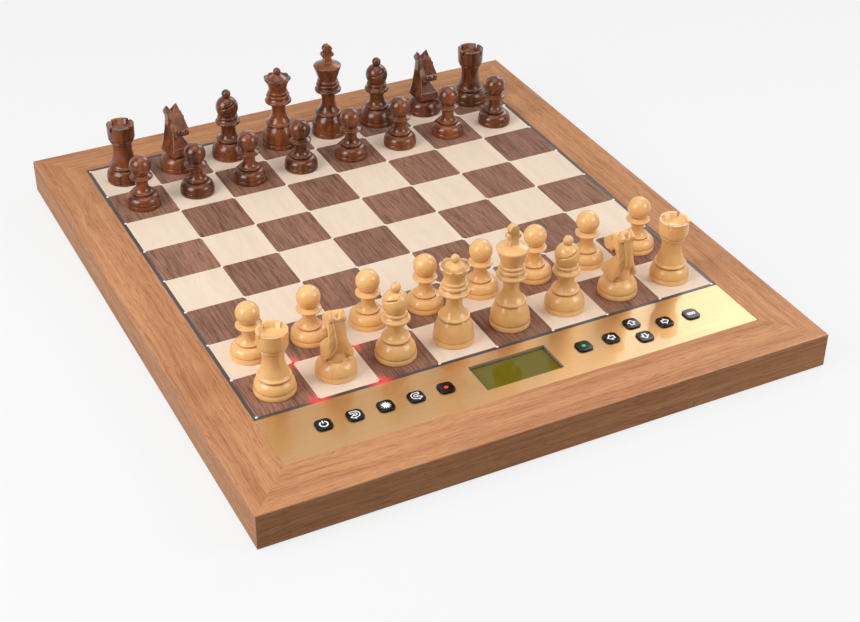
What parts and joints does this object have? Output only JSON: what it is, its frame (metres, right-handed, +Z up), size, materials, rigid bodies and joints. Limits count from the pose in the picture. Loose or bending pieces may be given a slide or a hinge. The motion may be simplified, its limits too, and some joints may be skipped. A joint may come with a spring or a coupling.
{
  "type": "electronic chess computer",
  "caption": "Table-top electronic chess computer: wooden board with corner lamps in a mitred frame, brass control panel with display and buttons, and turned wooden pieces.",
  "frame": {"origin": "on the table, under the middle of the frame", "axes": "+X along the files from a to h, +Y from White's side to Black's side, +Z up"},
  "size_m": [0.531, 0.596, 0.1338],
  "materials": {
    "walnut": "satin varnish over straight grain",
    "dark_border": "dark stain, satin",
    "walnut_veneer": "satin varnish",
    "maple_veneer": "satin varnish",
    "lamp": "milky, clear coat",
    "brass_plate": "brushed along the plate, lacquered",
    "display": "olive liquid crystal behind clear glass",
    "bezel_steel": "satin",
    "circuit_board": "green solder mask",
    "hardboard": "matt brown fibreboard",
    "screw_steel": "bright zinc",
    "foot_rubber": "matt",
    "socket_plastic": "fine grain",
    "button_black": "glossy",
    "boxwood": "clear gloss varnish",
    "rosewood": "clear gloss varnish"
  },
  "bodies": {
    "board": {"frame_front_rail": "walnut", "frame_rear_rail": "walnut", "frame_left_rail": "walnut", "frame_right_rail": "walnut", "board_panel": "dark_border", "dark_squares": "walnut_veneer", "light_squares": "maple_veneer", "corner_lamps": "lamp", "control_panel": "brass_plate", "display_glass": "display", "display_bezel": "bezel_steel", "main_board": "circuit_board", "sensor_board": "circuit_board", "bottom_panel": "hardboard", "bottom_screws": "screw_steel", "feet": "foot_rubber", "power_socket": "socket_plastic"},
    "button_power": {"button_power": "button_black"},
    "button_back": {"button_back": "button_black"},
    "button_hint": {"button_hint": "button_black"},
    "button_forward": {"button_forward": "button_black"},
    "button_red": {"button_red": "button_black"},
    "button_green": {"button_green": "button_black"},
    "button_left": {"button_left": "button_black"},
    "button_up": {"button_up": "button_black"},
    "button_down": {"button_down": "button_black"},
    "button_right": {"button_right": "button_black"},
    "button_menu": {"button_menu": "button_black"},
    "white_rook_a": {"white_rook_a": "boxwood"},
    "white_knight_b": {"white_knight_b": "boxwood"},
    "white_bishop_c": {"white_bishop_c": "boxwood"},
    "white_queen": {"white_queen": "boxwood"},
    "white_king": {"white_king": "boxwood"},
    "white_bishop_f": {"white_bishop_f": "boxwood"},
    "white_knight_g": {"white_knight_g": "boxwood"},
    "white_rook_h": {"white_rook_h": "boxwood"},
    "black_rook_a": {"black_rook_a": "rosewood"},
    "black_knight_b": {"black_knight_b": "rosewood"},
    "black_bishop_c": {"black_bishop_c": "rosewood"},
    "black_queen": {"black_queen": "rosewood"},
    "black_king": {"black_king": "rosewood"},
    "black_bishop_f": {"black_bishop_f": "rosewood"},
    "black_knight_g": {"black_knight_g": "rosewood"},
    "black_rook_h": {"black_rook_h": "rosewood"},
    "white_pawn_a": {"white_pawn_a": "boxwood"},
    "white_pawn_b": {"white_pawn_b": "boxwood"},
    "white_pawn_c": {"white_pawn_c": "boxwood"},
    "white_pawn_d": {"white_pawn_d": "boxwood"},
    "white_pawn_e": {"white_pawn_e": "boxwood"},
    "white_pawn_f": {"white_pawn_f": "boxwood"},
    "white_pawn_g": {"white_pawn_g": "boxwood"},
    "white_pawn_h": {"white_pawn_h": "boxwood"},
    "black_pawn_a": {"black_pawn_a": "rosewood"},
    "black_pawn_b": {"black_pawn_b": "rosewood"},
    "black_pawn_c": {"black_pawn_c": "rosewood"},
    "black_pawn_d": {"black_pawn_d": "rosewood"},
    "black_pawn_e": {"black_pawn_e": "rosewood"},
    "black_pawn_f": {"black_pawn_f": "rosewood"},
    "black_pawn_g": {"black_pawn_g": "rosewood"},
    "black_pawn_h": {"black_pawn_h": "rosewood"}
  },
  "joints": [
    {"name": "press_power", "type": "slide", "parent": "board", "child": "button_power", "axis": [0, 0, -1], "range_m": [0, 0.0008], "stiffness_N_per_m": 1200, "springref_m": -0.0004},
    {"name": "press_back", "type": "slide", "parent": "board", "child": "button_back", "axis": [0, 0, -1], "range_m": [0, 0.0008], "stiffness_N_per_m": 1200, "springref_m": -0.0004},
    {"name": "press_hint", "type": "slide", "parent": "board", "child": "button_hint", "axis": [0, 0, -1], "range_m": [0, 0.0008], "stiffness_N_per_m": 1200, "springref_m": -0.0004},
    {"name": "press_forward", "type": "slide", "parent": "board", "child": "button_forward", "axis": [0, 0, -1], "range_m": [0, 0.0008], "stiffness_N_per_m": 1200, "springref_m": -0.0004},
    {"name": "press_red", "type": "slide", "parent": "board", "child": "button_red", "axis": [0, 0, -1], "range_m": [0, 0.0008], "stiffness_N_per_m": 1200, "springref_m": -0.0004},
    {"name": "press_green", "type": "slide", "parent": "board", "child": "button_green", "axis": [0, 0, -1], "range_m": [0, 0.0008], "stiffness_N_per_m": 1200, "springref_m": -0.0004},
    {"name": "press_left", "type": "slide", "parent": "board", "child": "button_left", "axis": [0, 0, -1], "range_m": [0, 0.0008], "stiffness_N_per_m": 1200, "springref_m": -0.0004},
    {"name": "press_up", "type": "slide", "parent": "board", "child": "button_up", "axis": [0, 0, -1], "range_m": [0, 0.0008], "stiffness_N_per_m": 1200, "springref_m": -0.0004},
    {"name": "press_down", "type": "slide", "parent": "board", "child": "button_down", "axis": [0, 0, -1], "range_m": [0, 0.0008], "stiffness_N_per_m": 1200, "springref_m": -0.0004},
    {"name": "press_right", "type": "slide", "parent": "board", "child": "button_right", "axis": [0, 0, -1], "range_m": [0, 0.0008], "stiffness_N_per_m": 1200, "springref_m": -0.0004},
    {"name": "press_menu", "type": "slide", "parent": "board", "child": "button_menu", "axis": [0, 0, -1], "range_m": [0, 0.0008], "stiffness_N_per_m": 1200, "springref_m": -0.0004},
    {"name": "lift_white_rook_a", "type": "slide", "parent": "board", "child": "white_rook_a", "axis": [0, 0, 1], "range_m": [0, 0.11]},
    {"name": "lift_white_knight_b", "type": "slide", "parent": "board", "child": "white_knight_b", "axis": [0, 0, 1], "range_m": [0, 0.11]},
    {"name": "lift_white_bishop_c", "type": "slide", "parent": "board", "child": "white_bishop_c", "axis": [0, 0, 1], "range_m": [0, 0.11]},
    {"name": "lift_white_queen", "type": "slide", "parent": "board", "child": "white_queen", "axis": [0, 0, 1], "range_m": [0, 0.11]},
    {"name": "lift_white_king", "type": "slide", "parent": "board", "child": "white_king", "axis": [0, 0, 1], "range_m": [0, 0.11]},
    {"name": "lift_white_bishop_f", "type": "slide", "parent": "board", "child": "white_bishop_f", "axis": [0, 0, 1], "range_m": [0, 0.11]},
    {"name": "lift_white_knight_g", "type": "slide", "parent": "board", "child": "white_knight_g", "axis": [0, 0, 1], "range_m": [0, 0.11]},
    {"name": "lift_white_rook_h", "type": "slide", "parent": "board", "child": "white_rook_h", "axis": [0, 0, 1], "range_m": [0, 0.11]},
    {"name": "lift_black_rook_a", "type": "slide", "parent": "board", "child": "black_rook_a", "axis": [0, 0, 1], "range_m": [0, 0.11]},
    {"name": "lift_black_knight_b", "type": "slide", "parent": "board", "child": "black_knight_b", "axis": [0, 0, 1], "range_m": [0, 0.11]},
    {"name": "lift_black_bishop_c", "type": "slide", "parent": "board", "child": "black_bishop_c", "axis": [0, 0, 1], "range_m": [0, 0.11]},
    {"name": "lift_black_queen", "type": "slide", "parent": "board", "child": "black_queen", "axis": [0, 0, 1], "range_m": [0, 0.11]},
    {"name": "lift_black_king", "type": "slide", "parent": "board", "child": "black_king", "axis": [0, 0, 1], "range_m": [0, 0.11]},
    {"name": "lift_black_bishop_f", "type": "slide", "parent": "board", "child": "black_bishop_f", "axis": [0, 0, 1], "range_m": [0, 0.11]},
    {"name": "lift_black_knight_g", "type": "slide", "parent": "board", "child": "black_knight_g", "axis": [0, 0, 1], "range_m": [0, 0.11]},
    {"name": "lift_black_rook_h", "type": "slide", "parent": "board", "child": "black_rook_h", "axis": [0, 0, 1], "range_m": [0, 0.11]},
    {"name": "lift_white_pawn_a", "type": "slide", "parent": "board", "child": "white_pawn_a", "axis": [0, 0, 1], "range_m": [0, 0.11]},
    {"name": "lift_white_pawn_b", "type": "slide", "parent": "board", "child": "white_pawn_b", "axis": [0, 0, 1], "range_m": [0, 0.11]},
    {"name": "lift_white_pawn_c", "type": "slide", "parent": "board", "child": "white_pawn_c", "axis": [0, 0, 1], "range_m": [0, 0.11]},
    {"name": "lift_white_pawn_d", "type": "slide", "parent": "board", "child": "white_pawn_d", "axis": [0, 0, 1], "range_m": [0, 0.11]},
    {"name": "lift_white_pawn_e", "type": "slide", "parent": "board", "child": "white_pawn_e", "axis": [0, 0, 1], "range_m": [0, 0.11]},
    {"name": "lift_white_pawn_f", "type": "slide", "parent": "board", "child": "white_pawn_f", "axis": [0, 0, 1], "range_m": [0, 0.11]},
    {"name": "lift_white_pawn_g", "type": "slide", "parent": "board", "child": "white_pawn_g", "axis": [0, 0, 1], "range_m": [0, 0.11]},
    {"name": "lift_white_pawn_h", "type": "slide", "parent": "board", "child": "white_pawn_h", "axis": [0, 0, 1], "range_m": [0, 0.11]},
    {"name": "lift_black_pawn_a", "type": "slide", "parent": "board", "child": "black_pawn_a", "axis": [0, 0, 1], "range_m": [0, 0.11]},
    {"name": "lift_black_pawn_b", "type": "slide", "parent": "board", "child": "black_pawn_b", "axis": [0, 0, 1], "range_m": [0, 0.11]},
    {"name": "lift_black_pawn_c", "type": "slide", "parent": "board", "child": "black_pawn_c", "axis": [0, 0, 1], "range_m": [0, 0.11]},
    {"name": "lift_black_pawn_d", "type": "slide", "parent": "board", "child": "black_pawn_d", "axis": [0, 0, 1], "range_m": [0, 0.11]},
    {"name": "lift_black_pawn_e", "type": "slide", "parent": "board", "child": "black_pawn_e", "axis": [0, 0, 1], "range_m": [0, 0.11]},
    {"name": "lift_black_pawn_f", "type": "slide", "parent": "board", "child": "black_pawn_f", "axis": [0, 0, 1], "range_m": [0, 0.11]},
    {"name": "lift_black_pawn_g", "type": "slide", "parent": "board", "child": "black_pawn_g", "axis": [0, 0, 1], "range_m": [0, 0.11]},
    {"name": "lift_black_pawn_h", "type": "slide", "parent": "board", "child": "black_pawn_h", "axis": [0, 0, 1], "range_m": [0, 0.11]}
  ]
}
